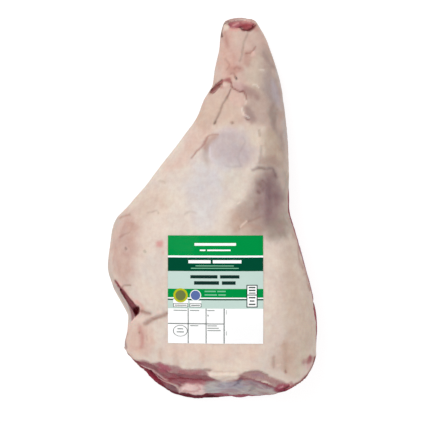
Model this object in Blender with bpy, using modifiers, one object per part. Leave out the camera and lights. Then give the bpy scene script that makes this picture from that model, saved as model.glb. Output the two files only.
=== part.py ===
"""Whole leg of lamb with the bone in, lying on its inner side, and the printed label on its fat side.

Metres, +Z up. The leg lies along Y with the shank at +Y and the cut chump end at -Y, and rests on the
flattened underside at Z = 0. The origin is under the middle of its bounding box.
"""
import math
from collections import namedtuple

import bmesh
import bpy
from mathutils import Vector
from mathutils.bvhtree import BVHTree

# Driving dimensions
LEG_LENGTH = 0.3825
LEG_WIDTH = 0.207
LEG_HEIGHT = 0.080
LABEL_WIDTH = 0.0917
LABEL_LENGTH = 0.1042

# Landmarks down the leg, in shares of its length above (+) or below (-) the middle
TIP = 0.512
TENDON_CUT = 0.325
KNEE = 0.17
HIP_CORNER = -0.035
FLANK = -0.155
NOTCH = -0.29
CHUMP_CORNER = -0.365
CUT_FOOT = -0.509
PAST_THE_CUT = -0.54

# One share in metres: the leg measures LEG_LENGTH from the foot of its cut to the sawn shank
SHARE = LEG_LENGTH / (TIP - CUT_FOOT)
HALF_WIDTH = LEG_WIDTH / 2

# How finely the body is drawn
SECTIONS = 62
TOP_POINTS = 34
BASE_POINTS = 18
WALL_COLUMNS = 44
WALL_ROWS = 10

LABEL_PLACE = (0.0034, -0.0789)
LABEL_CELLS = (16, 20)
LABEL_CLEARANCE = 0.0006
LABEL_THICKNESS = 0.0005

Ring = namedtuple("Ring", "along left right crown lean rim_left rim_right base")


def smooth_curve(points):
    """The smooth function through (place, value) points, level beyond both ends."""
    points = sorted(points)
    places = [p[0] for p in points]
    values = [p[1] for p in points]
    rises = [
        (values[i + 1] - values[i]) / (places[i + 1] - places[i])
        for i in range(len(points) - 1)
    ]
    slopes = [rises[0]]
    for before, after in zip(rises, rises[1:]):
        level = before * after <= 0
        slopes.append(0.0 if level else 2 * before * after / (before + after))
    slopes.append(rises[-1])

    def value_at(place):
        place = min(max(place, places[0]), places[-1])
        i = max(k for k in range(len(places) - 1) if places[k] <= place)
        span = places[i + 1] - places[i]
        t = (place - places[i]) / span
        rise = values[i + 1] - values[i]
        start = slopes[i] * span
        end = slopes[i + 1] * span
        return values[i] + t * (start + t * (3 * rise - 2 * start - end + t * (start + end - 2 * rise)))

    return value_at


# The outline seen from above, in half widths from the centre line
left_edge = smooth_curve([
    (PAST_THE_CUT, -0.84),
    (CHUMP_CORNER, -0.84),
    (-0.330, -0.815),
    (NOTCH, -0.80),
    (-0.255, -0.86),
    (-0.205, -0.955),
    (FLANK, -1.0),
    (-0.085, -0.975),
    (HIP_CORNER, -0.935),
    (0.005, -0.800),
    (0.058, -0.640),
    (0.115, -0.480),
    (KNEE, -0.322),
    (0.245, -0.135),
    (0.290, -0.075),
    (TENDON_CUT, 0.005),
    (0.375, 0.030),
    (0.440, 0.076),
    (0.480, 0.086),
    (TIP, 0.112),
])
right_edge = smooth_curve([
    (PAST_THE_CUT, 0.990),
    (-0.32, 1.0),
    (-0.24, 0.965),
    (-0.155, 0.895),
    (-0.075, 0.815),
    (0.0, 0.745),
    (0.10, 0.733),
    (0.205, 0.712),
    (0.31, 0.665),
    (0.40, 0.585),
    (0.44, 0.543),
    (0.48, 0.491),
    (TIP, 0.432),
])

# Heights, in leg heights above the surface that the leg lies on
crown_height = smooth_curve([
    (PAST_THE_CUT, 0.80),
    (CHUMP_CORNER, 0.93),
    (-0.25, 1.0),
    (-0.10, 0.965),
    (0.02, 0.86),
    (KNEE, 0.745),
    (TENDON_CUT, 0.655),
    (0.43, 0.575),
    (TIP, 0.50),
])
left_rim_height = smooth_curve([
    (PAST_THE_CUT, 0.33),
    (NOTCH, 0.34),
    (FLANK, 0.24),
    (0.05, 0.30),
    (TENDON_CUT, 0.33),
    (TIP, 0.31),
])
right_rim_height = smooth_curve([
    (PAST_THE_CUT, 0.42),
    (FLANK, 0.40),
    (0.05, 0.34),
    (TENDON_CUT, 0.33),
    (TIP, 0.31),
])
base_height = smooth_curve([
    (PAST_THE_CUT, 0.0),
    (TENDON_CUT, 0.0),
    (0.42, 0.035),
    (TIP, 0.10),
])

# Where the crown lies between the left edge (0) and the right edge (1)
crown_lean = smooth_curve([
    (PAST_THE_CUT, 0.56),
    (FLANK, 0.63),
    (0.05, 0.66),
    (KNEE, 0.57),
    (TIP, 0.50),
])

# How far a section leans back per unit of height, which turns the sawn shank end to face upwards
end_lean = smooth_curve([
    (0.36, 0.0),
    (TIP, 0.40),
])

BASE_SINK = 0.0035
SKIN_FULLNESS = 2.25
FLANK_FULLNESS = 2.0
BASE_FULLNESS = 2.4


def ring_at(share):
    """The sizes of the section at this share of the length."""
    return Ring(
        along=share * SHARE,
        left=left_edge(share) * HALF_WIDTH,
        right=right_edge(share) * HALF_WIDTH,
        crown=crown_height(share) * LEG_HEIGHT,
        lean=crown_lean(share),
        rim_left=left_rim_height(share) * LEG_HEIGHT,
        rim_right=right_rim_height(share) * LEG_HEIGHT,
        base=base_height(share) * LEG_HEIGHT,
    )


def arc(start, end, fullness, turn):
    """A point on the rounded quarter from start, where it is upright, to end, where it is level."""
    across = abs(math.cos(turn)) ** (2 / fullness)
    up = abs(math.sin(turn)) ** (2 / fullness)
    return end[0] + (start[0] - end[0]) * across, start[1] + (end[1] - start[1]) * up


def section_points(ring):
    """The section's outline, from the right rim over the crown to the left rim and back under the base."""
    middle = ring.left + (ring.right - ring.left) * ring.lean
    base_middle = (ring.left + ring.right) / 2
    right = (ring.right, ring.rim_right)
    left = (ring.left, ring.rim_left)
    crown = (middle, ring.crown)
    base = (base_middle, ring.base - BASE_SINK)
    outline = []
    for i in range(TOP_POINTS):
        turn = math.pi * i / TOP_POINTS
        if turn <= math.pi / 2:
            outline.append(arc(right, crown, SKIN_FULLNESS, turn))
        else:
            outline.append(arc(left, crown, FLANK_FULLNESS, math.pi - turn))
    for i in range(BASE_POINTS):
        turn = math.pi * i / BASE_POINTS
        if turn <= math.pi / 2:
            outline.append(arc(left, base, BASE_FULLNESS, turn))
        else:
            outline.append(arc(right, base, BASE_FULLNESS, math.pi - turn))
    lean = end_lean(ring.along / SHARE)
    return [Vector((x, ring.along - lean * z, max(z, 0.0))) for x, z in outline]


# Low swells (+) and hollows (-) of the skin: place in half widths and shares, turn, reach and rise in metres
Swell = namedtuple("Swell", "across along reach_across reach_along turn rise")
RELIEF_FADE = 0.35
SWELLS = {
    "kneecap": Swell(0.17, 0.165, 0.022, 0.019, 0.0, 0.0022),
    "hollow_behind_the_knee": Swell(0.585, 0.030, 0.008, 0.026, -0.12, -0.0050),
    "tendon_at_the_back": Swell(0.46, 0.150, 0.006, 0.030, -0.25, 0.0018),
    "shin_furrow": Swell(0.63, 0.245, 0.005, 0.034, -0.15, -0.0020),
    "hip_swell": Swell(-0.72, -0.085, 0.024, 0.034, 0.3, 0.0030),
    "flank_fold": Swell(-0.62, -0.283, 0.016, 0.005, 0.25, -0.0042),
    "flank_lip": Swell(-0.64, -0.262, 0.013, 0.006, 0.25, 0.0022),
    "rump_swell": Swell(0.62, -0.290, 0.030, 0.050, 0.1, 0.0020),
}


def skin_relief(x, y):
    """How far the swells raise the skin at this place on the fat side."""
    total = 0.0
    for swell in SWELLS.values():
        dx = x - swell.across * HALF_WIDTH
        dy = y - swell.along * SHARE
        along = dy * math.cos(swell.turn) - dx * math.sin(swell.turn)
        across = dx * math.cos(swell.turn) + dy * math.sin(swell.turn)
        total += swell.rise * math.exp(-((across / swell.reach_across) ** 2) - (along / swell.reach_along) ** 2)
    return total


def with_relief(point, ring):
    """The point raised by the swells, fully at the crown and not at all at the rims."""
    rim = max(ring.rim_left, ring.rim_right)
    strength = min(max((point.z - rim) / (RELIEF_FADE * (ring.crown - rim)), 0.0), 1.0)
    return point + Vector((0.0, 0.0, strength * skin_relief(point.x, point.y)))


# The sawn shank end, ring by ring: size as a share of the section, how far it stands out, and whether the
# ring lies round the bone, which is off the middle by BONE_OFF across and up
Sawn = namedtuple("Sawn", "size reach round_bone")
SAWN_END = {
    "collar": Sawn(0.95, 0.0014, False),
    "collar_lip": Sawn(0.90, 0.0016, False),
    "lean": Sawn(0.85, -0.0016, False),
    "bone_foot": Sawn(0.44, -0.0026, True),
    "bone_rim": Sawn(0.38, 0.0006, True),
    "marrow_rim": Sawn(0.26, 0.0002, True),
    "marrow": Sawn(0.18, -0.0030, True),
}
BONE_OFF = (0.0043, 0.0043)


def sawn_end_rings(section):
    """Rings that close the shank: a collar of skin, the sunk lean, the bone and its marrow."""
    middle = sum(section, Vector()) / len(section)
    spoke = section[len(section) // 4] - middle
    outward = (section[0] - middle).cross(spoke).normalized()
    outward = outward if outward.y > 0 else -outward
    across = Vector((1.0, 0.0, 0.0))
    up = across.cross(outward)
    to_bone = across * BONE_OFF[0] + up * BONE_OFF[1]
    rings = []
    for ring in SAWN_END.values():
        centre = middle + outward * ring.reach + (to_bone if ring.round_bone else Vector())
        rings.append([centre + (p - middle) * ring.size for p in section])
    return rings


def skin_section(share):
    ring = ring_at(share)
    return [with_relief(p, ring) for p in section_points(ring)]


def new_object(name, mesh, collection):
    obj = bpy.data.objects.new(name, mesh)
    collection.objects.link(obj)
    return obj


def mesh_object(name, bm, collection):
    """An object of this name that holds the bmesh, which is freed."""
    bm.normal_update()
    bmesh.ops.recalc_face_normals(bm, faces=bm.faces[:])
    mesh = bpy.data.meshes.new(name)
    bm.to_mesh(mesh)
    bm.free()
    return new_object(name, mesh, collection)


def loft(bm, rings):
    """Faces between each ring of points and the next, and one face over either end."""
    loops = [[bm.verts.new(p) for p in ring] for ring in rings]
    count = len(rings[0])
    for before, after in zip(loops, loops[1:]):
        for i in range(count):
            j = (i + 1) % count
            bm.faces.new((before[i], before[j], after[j], after[i]))
    bm.faces.new(loops[0])
    bm.faces.new(loops[-1])


def make_body(collection):
    """The leg before its cuts: sections from past the chump cut to the shank, and the sawn end."""
    shares = [PAST_THE_CUT + (TIP - PAST_THE_CUT) * i / (SECTIONS - 1) for i in range(SECTIONS)]
    sections = [skin_section(share) for share in shares]
    bm = bmesh.new()
    loft(bm, sections + sawn_end_rings(sections[-1]))
    return mesh_object("leg", bm, collection)


# The chump cut seen from above: how far down the leg its foot lies, by half widths across
chump_cut_foot = smooth_curve([
    (-1.10, -0.275),
    (-0.95, -0.335),
    (-0.84, -0.375),
    (-0.77, -0.410),
    (-0.64, -0.446),
    (-0.47, -0.482),
    (-0.32, -0.501),
    (-0.07, CUT_FOOT),
    (0.36, -0.501),
    (0.55, -0.495),
    (0.72, -0.480),
    (0.84, -0.458),
    (0.925, -0.430),
    (0.99, -0.388),
    (1.10, -0.290),
])

# How far the cut leans back over the leg per unit of height
chump_cut_lean = smooth_curve([
    (-1.0, 0.05),
    (-0.80, 0.20),
    (-0.50, 0.42),
    (-0.20, 0.43),
    (0.20, 0.40),
    (0.50, 0.26),
    (0.75, 0.06),
    (1.0, 0.0),
])

# The muscles that bulge out of the cut: place in half widths and leg heights, reach in metres and rise
Muscle = namedtuple("Muscle", "across up reach_across reach_up rise")
MUSCLES = {
    "rump": Muscle(-0.52, 0.42, 0.026, 0.020, 0.0040),
    "topside": Muscle(-0.05, 0.30, 0.024, 0.018, 0.0030),
    "hip_joint": Muscle(0.18, 0.66, 0.030, 0.012, 0.0045),
    "silverside": Muscle(0.60, 0.48, 0.028, 0.024, 0.0040),
    "seam": Muscle(0.36, 0.40, 0.009, 0.022, -0.0025),
    "outer_seam": Muscle(-0.28, 0.45, 0.009, 0.022, -0.0025),
}
WALL_LOW = -0.012
WALL_HIGH = 0.110
WALL_REACH = 1.10
WALL_DEPTH = 0.12


def cut_face(across, z):
    """Where the cut crosses this place: its Y, with the muscles bulging outwards."""
    y = chump_cut_foot(across) * SHARE + chump_cut_lean(across) * z
    for muscle in MUSCLES.values():
        dx = (across - muscle.across) * HALF_WIDTH
        dz = z - muscle.up * LEG_HEIGHT
        y -= muscle.rise * math.exp(-((dx / muscle.reach_across) ** 2) - (dz / muscle.reach_up) ** 2)
    return y


def make_chump_cutter(collection):
    """All that lies beyond the chump cut: the cut's face, drawn as a grid and pulled out along -Y."""
    bm = bmesh.new()
    bmesh.ops.create_grid(bm, x_segments=WALL_COLUMNS, y_segments=WALL_ROWS, size=1.0)
    for vert in bm.verts:
        across = vert.co.x * WALL_REACH
        z = WALL_LOW + (WALL_HIGH - WALL_LOW) * (vert.co.y + 1) / 2
        vert.co = (across * HALF_WIDTH, cut_face(across, z), z)
    pulled = bmesh.ops.extrude_face_region(bm, geom=bm.faces[:])
    for vert in pulled["geom"]:
        if isinstance(vert, bmesh.types.BMVert):
            vert.co.y = -LEG_LENGTH / 2 - WALL_DEPTH
    return mesh_object("chump_cutter", bm, collection)


# Knife cuts in the skin: both ends in half widths and shares, the widths there, depth and sink in metres
Slit = namedtuple("Slit", "start end start_width end_width depth sink")
SLITS = {
    "flank_pocket": Slit((-0.93, -0.188), (-0.70, -0.272), 0.0022, 0.0074, 0.014, 0.0015),
    "tendon_slit": Slit((-0.035, 0.302), (0.165, 0.334), 0.0044, 0.0026, 0.010, 0.0010),
}
SLIT_SIDES = 14


def surface_height(tree, x, y):
    """The height of the highest skin over this place."""
    above = Vector((x, y, 2 * LEG_HEIGHT))
    return tree.ray_cast(above, Vector((0.0, 0.0, -1.0)))[0].z


def make_slit_cutter(name, slit, tree, collection):
    """A cut's wedge: a flattened cone from end to end, on the skin."""
    ends = []
    for across, along in (slit.start, slit.end):
        x = across * HALF_WIDTH
        y = along * SHARE
        ends.append(Vector((x, y, surface_height(tree, x, y) - slit.sink)))
    run = ends[1] - ends[0]
    bm = bmesh.new()
    bmesh.ops.create_cone(
        bm,
        cap_ends=True,
        segments=SLIT_SIDES,
        radius1=slit.start_width / 2,
        radius2=slit.end_width / 2,
        depth=run.length,
    )
    deepen = slit.depth / max(slit.start_width, slit.end_width)
    turn = run.to_track_quat("Z", "Y")
    for vert in bm.verts:
        vert.co.y *= deepen
        vert.co = turn @ vert.co + (ends[0] + ends[1]) / 2
    return mesh_object(name, bm, collection)


def cut_with(obj, cutter):
    """Cuts the cutter from the object and hides it."""
    modifier = obj.modifiers.new(cutter.name, "BOOLEAN")
    modifier.operation = "DIFFERENCE"
    modifier.solver = "EXACT"
    modifier.object = cutter
    cutter.hide_render = True
    cutter.display_type = "WIRE"


def evaluated_tree(obj):
    bpy.context.view_layer.update()
    graph = bpy.context.evaluated_depsgraph_get()
    return BVHTree.FromObject(obj, graph)


def make_label(tree, collection):
    """The printed label: a sheet that follows the skin under it, a little clear of it."""
    columns, rows = LABEL_CELLS
    bm = bmesh.new()
    bmesh.ops.create_grid(bm, x_segments=columns, y_segments=rows, size=0.5)
    for vert in bm.verts:
        x = LABEL_PLACE[0] + vert.co.x * LABEL_WIDTH
        y = LABEL_PLACE[1] + vert.co.y * LABEL_LENGTH
        vert.co = (x, y, surface_height(tree, x, y) + LABEL_CLEARANCE)
    label = mesh_object("label", bm, collection)
    sheet = label.modifiers.new("paper", "SOLIDIFY")
    sheet.thickness = LABEL_THICKNESS
    sheet.offset = 1.0
    return label


def stand_on_origin(body, movers):
    """Moves everything so that the origin is under the middle of the body's bounding box."""
    corners = evaluated_corners(body)
    middle = sum(corners, Vector()) / len(corners)
    for obj in movers:
        obj.location = (-middle.x, -middle.y, 0.0)


def evaluated_corners(obj):
    bpy.context.view_layer.update()
    evaluated = obj.evaluated_get(bpy.context.evaluated_depsgraph_get())
    return [Vector(corner) for corner in evaluated.bound_box]


def make_material(name, colour, roughness):
    material = bpy.data.materials.new(name)
    material.use_nodes = True
    shader = material.node_tree.nodes["Principled BSDF"]
    shader.inputs["Base Color"].default_value = (*colour, 1.0)
    shader.inputs["Roughness"].default_value = roughness
    shader.inputs["Metallic"].default_value = 0.0
    return material


def main():
    for old in list(bpy.data.objects):
        bpy.data.objects.remove(old)
    model = bpy.data.collections.new("leg_of_lamb")
    cutters = bpy.data.collections.new("cutters")
    bpy.context.scene.collection.children.link(model)
    bpy.context.scene.collection.children.link(cutters)

    leg = make_body(model)
    whole_tree = evaluated_tree(leg)
    cut_with(leg, make_chump_cutter(cutters))
    for name, slit in SLITS.items():
        cut_with(leg, make_slit_cutter(name, slit, whole_tree, cutters))
    label = make_label(whole_tree, model)

    stand_on_origin(leg, [leg, label, *cutters.objects])
    leg.data.materials.append(make_material("fat_and_skin", (0.78, 0.66, 0.58), 0.45))
    label.data.materials.append(make_material("printed_paper", (0.86, 0.90, 0.87), 0.40))
    leg.data.shade_smooth()


main()
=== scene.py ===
import math

import bpy
import numpy as np
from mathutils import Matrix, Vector, noise
from mathutils.bvhtree import BVHTree
from mathutils.kdtree import KDTree


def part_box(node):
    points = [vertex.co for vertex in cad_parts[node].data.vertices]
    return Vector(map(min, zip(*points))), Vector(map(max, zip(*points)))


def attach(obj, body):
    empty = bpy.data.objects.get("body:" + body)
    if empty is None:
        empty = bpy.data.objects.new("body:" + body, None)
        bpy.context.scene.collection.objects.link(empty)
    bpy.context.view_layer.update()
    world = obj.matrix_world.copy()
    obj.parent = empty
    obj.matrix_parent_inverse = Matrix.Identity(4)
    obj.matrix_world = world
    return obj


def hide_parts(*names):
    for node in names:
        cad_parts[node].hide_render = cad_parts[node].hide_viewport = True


# A raw leg of lamb, fat side up, with its printed label. Metres, +Y towards the shank.
# What shows on the skin is placed by pixels of the photograph, which looks straight down.

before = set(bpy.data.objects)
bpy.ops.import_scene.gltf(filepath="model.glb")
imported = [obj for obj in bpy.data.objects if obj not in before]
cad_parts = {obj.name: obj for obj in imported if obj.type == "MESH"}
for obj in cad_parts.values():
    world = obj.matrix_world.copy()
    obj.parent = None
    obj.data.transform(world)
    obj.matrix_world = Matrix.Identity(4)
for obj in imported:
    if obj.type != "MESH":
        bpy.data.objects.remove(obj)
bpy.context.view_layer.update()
legLow, legHigh = [Vector(corner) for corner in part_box('leg')]
labelLow, labelHigh = [Vector(corner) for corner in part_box('label')]
mm = 0.001

photograph = {
    'side': 424,                # pixels
    'legWidth': 209.8,          # pixels across the widest part of the leg
    'legMiddle': (212, 208),    # pixel under which the leg's middle lies
    'widestAt': 35 * mm,        # height of the widest part
    'distance': 1.8,            # from the camera down to that height
    'sensor': 36.0,
}
pixel = (legHigh.x - legLow.x) / photograph['legWidth']
cameraHeight = photograph['widestAt'] + photograph['distance']
pictureMiddle = photograph['side'] / 2
cameraY = (photograph['legMiddle'][1] - pictureMiddle) * pixel


def seenAt(points):                     # the pixels of the photograph that these points fall on
    spread = photograph['distance'] / (cameraHeight - points[:, 2]) / pixel
    across = pictureMiddle + points[:, 0] * spread
    down = pictureMiddle - (points[:, 1] - cameraY) * spread
    return np.stack([across, down], axis=1)


def linear(colour):                     # '#RRGGBB' as a linear colour
    parts = [int(colour[i:i + 2], 16) / 255 for i in (1, 3, 5)]
    return [c / 12.92 if c <= 0.04045 else ((c + 0.055) / 1.055) ** 2.4 for c in parts] + [1.0]


def softStep(values, low, high):
    t = np.clip((values - low) / (high - low), 0.0, 1.0)
    return t * t * (3 - 2 * t)


def noiseAt(points, size, seed):        # smooth noise from about -1 to 1 with lumps of this size in metres
    offset = Vector((seed * 3.7, seed * 1.9, seed * 5.3))
    return np.array([noise.noise(Vector(p) / size + offset) for p in points])


def selectOnly(piece):
    bpy.ops.object.select_all(action='DESELECT')
    piece.select_set(True)
    bpy.context.view_layer.objects.active = piece


def applyModifier(piece, kind, **settings):
    selectOnly(piece)
    modifier = piece.modifiers.new(kind.lower(), kind)
    for name, value in settings.items():
        setattr(modifier, name, value)
    bpy.ops.object.modifier_apply(modifier=modifier.name)


def vectorsOf(piece, kind):             # 'co' for the places of its points, 'normal' for their normals
    vectors = np.empty(len(piece.data.vertices) * 3)
    piece.data.vertices.foreach_get(kind, vectors)
    return vectors.reshape(-1, 3)


def movePoints(piece, points):
    piece.data.vertices.foreach_set('co', points.ravel())
    piece.data.update()


def keepMask(piece, name, values):      # a mask that the material reads by its name
    layer = piece.data.attributes.new(name, 'FLOAT', 'POINT')
    layer.data.foreach_set('value', np.clip(values, 0.0, 1.0))


def keepColour(piece, name, colours):
    layer = piece.data.color_attributes.new(name, 'FLOAT_COLOR', 'POINT')
    layer.data.foreach_set('color', np.clip(colours, 0.0, 1.0).ravel())


# Materials: a socket that takes part in sums

class Wire:
    def __init__(self, tree, socket=None):
        self.tree = tree
        self.socket = socket

    def fill(self, node, sockets):
        for name, value in sockets.items():
            if isinstance(value, Wire):
                self.tree.links.new(value.socket, node.inputs[name])
            else:
                node.inputs[name].default_value = value

    def node(self, kind, settings, sockets, output=0):
        made = self.tree.nodes.new('ShaderNode' + kind)
        for name, value in settings.items():
            setattr(made, name, value)
        self.fill(made, sockets)
        return Wire(self.tree, made.outputs[output])

    def sum(self, operation, first, second):
        return self.node('Math', {'operation': operation}, {0: first, 1: second})

    def __add__(self, other):
        return self.sum('ADD', self, other)

    def __radd__(self, other):
        return self.sum('ADD', other, self)

    def __sub__(self, other):
        return self.sum('SUBTRACT', self, other)

    def __rsub__(self, other):
        return self.sum('SUBTRACT', other, self)

    def __mul__(self, other):
        return self.sum('MULTIPLY', self, other)

    def __gt__(self, other):
        return self.sum('GREATER_THAN', self, other)

    def __lt__(self, other):
        return self.sum('LESS_THAN', self, other)

    def step(self, low, high):          # 0 below low, 1 above high, soft between
        settings = {'interpolation_type': 'SMOOTHSTEP'}
        return self.node('MapRange', settings, {'Value': self, 'From Min': low, 'From Max': high})

    def mix(self, factor, under, over):
        return self.node('Mix', {'data_type': 'RGBA'}, {0: factor, 6: under, 7: over}, 2)

    def tinted(self, other):            # each channel times that of the other colour
        return self.node('VectorMath', {'operation': 'MULTIPLY'}, {0: self, 1: other})

    def stretched(self, scale):
        return self.node('Mapping', {}, {'Vector': self, 'Scale': scale})

    def noise(self, size, detail=2.0, roughness=0.5):
        sockets = {'Vector': self, 'Scale': 1 / size, 'Detail': detail, 'Roughness': roughness}
        return self.node('TexNoise', {}, sockets)


def newMaterial(piece, name):           # a start for its sums, and its shader
    material = bpy.data.materials.new(name)
    material.use_nodes = True
    piece.data.materials.clear()
    piece.data.materials.append(material)
    return Wire(material.node_tree), material.node_tree.nodes['Principled BSDF']


# Camera, lights and floor

studio = {
    'floorSide': 6.0,
    'floorColour': '#808080',
    'floorGlow': 0.86,          # the floor shines, so that it stays as white as the photograph's
    'worldColour': '#FFFFFF',
    'worldStrength': 0.58,
    'keyPlace': (-0.60, 0.60, 1.45),
    'keySide': 0.8,
    'keyPower': 12.5,
    'fillPlace': (0.75, -0.50, 1.45),
    'fillSide': 1.2,
    'fillPower': 3.5,
}


def makeCamera():
    bpy.ops.object.camera_add(location=(0.0, cameraY, cameraHeight), rotation=(0.0, 0.0, 0.0))
    camera = bpy.context.object
    camera.name = 'photographCamera'
    camera.data.sensor_width = photograph['sensor']
    camera.data.lens = photograph['sensor'] * photograph['distance'] / (photograph['side'] * pixel)
    camera.data.clip_end = 20.0
    bpy.context.scene.camera = camera


def makeLight(name):                    # a square lamp that points at the origin
    place = Vector(studio[name + 'Place'])
    bpy.ops.object.light_add(type='AREA', location=place)
    light = bpy.context.object
    light.name = name + 'Light'
    light.data.size = studio[name + 'Side']
    light.data.energy = studio[name + 'Power']
    light.rotation_euler = (-place).to_track_quat('-Z', 'Y').to_euler()


def makeStudio():
    scene = bpy.context.scene
    scene.view_settings.view_transform = 'Standard'
    scene.world = bpy.data.worlds.new('studio')
    scene.world.use_nodes = True
    background = scene.world.node_tree.nodes['Background']
    background.inputs['Color'].default_value = linear(studio['worldColour'])
    background.inputs['Strength'].default_value = studio['worldStrength']
    makeLight('key')
    makeLight('fill')
    bpy.ops.mesh.primitive_plane_add(size=studio['floorSide'], location=(0.0, 0.0, 0.0))
    floor = bpy.context.object
    floor.name = 'floor'
    start, shader = newMaterial(floor, 'paleFloor')
    start.fill(shader, {
        'Base Color': linear(studio['floorColour']),
        'Roughness': 0.9,
        'Emission Color': linear('#FFFFFF'),
        'Emission Strength': studio['floorGlow'],
    })


makeCamera()
makeStudio()
print('camera, lights and floor are set')


# The meat

meat = {
    'voxel': 1.36 * mm,
    'smoothing': 4,
    'lumps': [(60 * mm, 0.8 * mm), (24 * mm, 0.55 * mm), (11 * mm, 0.25 * mm), (4.5 * mm, 0.08 * mm)],
    'bundles': 0.9 * mm,        # rise of the muscles where they are bare
    'edgeLip': 0.6 * mm,        # rise of the cut edge of the fat above the lean
    'fatRim': 2.6 * mm,         # thickness of the fat round the chump cut
    'cutBefore': -0.13,         # the chump cut lies before this place along the leg
    'cutFacing': -0.45,         # and its normals point this far along the leg
    'endBeyond': 0.172,         # the same for the sawn end
    'endFacing': 0.65,
    'endMiddle': (29, 23),      # of the sawn end, in millimetres across and up
    'endReach': (13.5, 14),
    'plain': '#DCCDC1',
}
# Bare muscle, in the order in which its colours are laid
flesh = {
    'lean': '#93505A',
    'bundles': '#A9656F',
    'clefts': '#6E2C37',
    'film': '#A88A90',
    'threads': '#D9BDB2',
    'seams': '#5A2029',
}
fatEdge = '#E4D3C5'             # the cut edge of the fat above the lean
fatRing = '#DFC9BB'             # and round the chump cut
# Along the leg, in millimetres: its middle, and the height at which the skin gives way to lean on each side
along = {
    'at': [-185, -160, -140, -110, -40, 0, 20, 45, 70, 110, 150, 172, 190],
    'middle': [8, 8, 8, 2, -9, -3, 0, 10, 20, 31, 33, 33, 32],
    'leanLeft': [6, 8, 8, 7, 8, 8, 8, 9, 9, 10, 10, 5, -6],
    'leanRight': [26, 39, 43, 46, 46, 43, 38, 33, 25, 18, 14, 6, -6],
}


# A mark may also lift (+) or sink (-) the surface in millimetres, and wet it

def area(soft, colour, strength, *corners, **more):        # an area with a soft edge
    return {'area': list(corners), 'soft': soft, 'colour': colour, 'strength': strength, **more}


def stroke(width, colour, strength, *points, **more):       # a line with a width
    return {'line': list(points), 'width': width, 'colour': colour, 'strength': strength, **more}


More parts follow.
